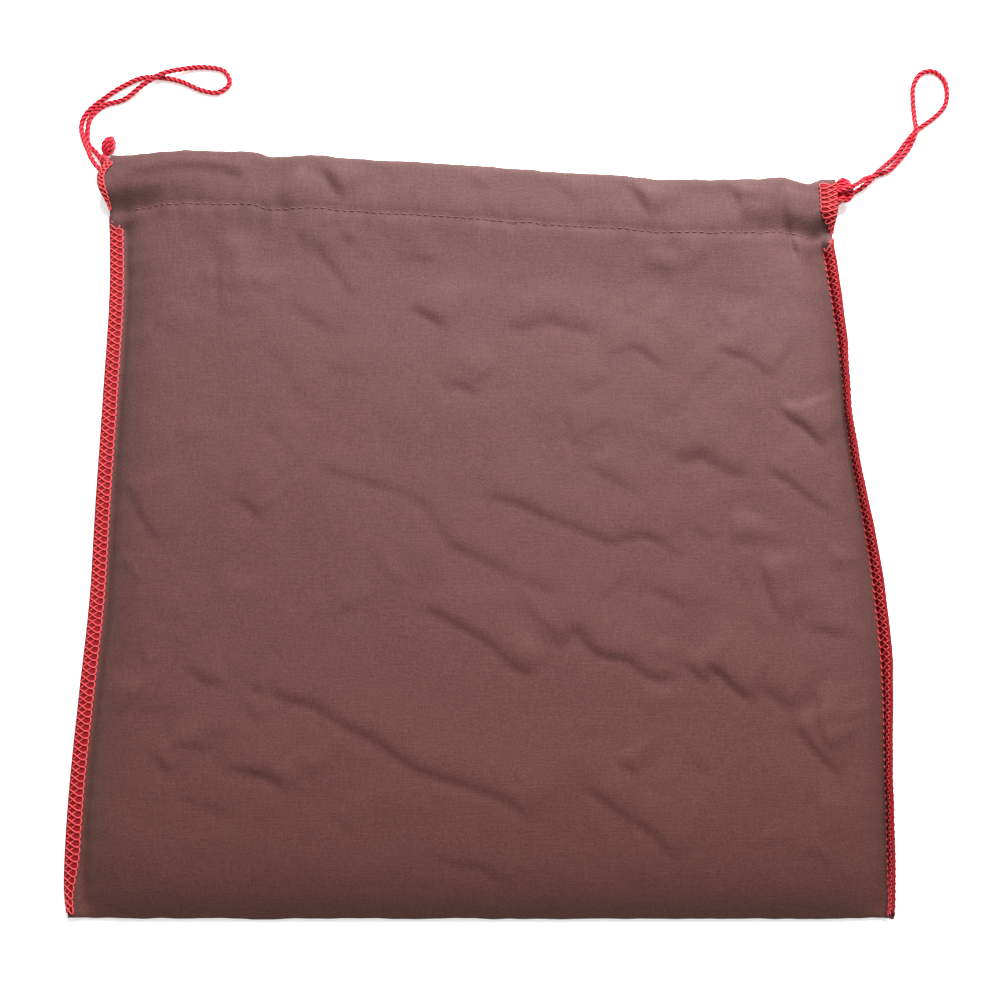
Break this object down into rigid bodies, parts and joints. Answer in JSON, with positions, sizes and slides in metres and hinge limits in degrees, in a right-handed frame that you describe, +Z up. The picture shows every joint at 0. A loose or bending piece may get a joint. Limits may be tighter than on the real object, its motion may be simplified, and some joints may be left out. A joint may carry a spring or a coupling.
{
  "type": "drawstring pouch",
  "caption": "Flat square cotton drawstring pouch with a casing at the mouth, overlocked side seams and twisted cords that loop out at the corners.",
  "frame": {"origin": "middle of the bag's rectangle, on the surface it lies on, without the cords and knots", "axes": "+Z up from the surface, +Y towards the mouth, +X to the right, seen from above"},
  "size_m": [0.3499, 0.3334, 0.0122],
  "materials": {
    "cloth": "matt plain-woven cotton",
    "stitch_thread": "matt sewing thread",
    "overlock_thread": "soft sheen thread",
    "cord": "silky twisted cord"
  },
  "bodies": {
    "root": {"pouch_cloth": "cloth", "side_overlock_left": "overlock_thread", "side_overlock_right": "overlock_thread", "casing_overlock_front_left": "overlock_thread", "casing_overlock_front_right": "overlock_thread", "casing_overlock_back_left": "overlock_thread", "casing_overlock_back_right": "overlock_thread", "casing_stitch_front": "stitch_thread", "casing_stitch_back": "stitch_thread", "cord_left_loop": "cord", "cord_right_loop": "cord", "knot_left": "cord", "knot_right": "cord"}
  },
  "joints": []
}
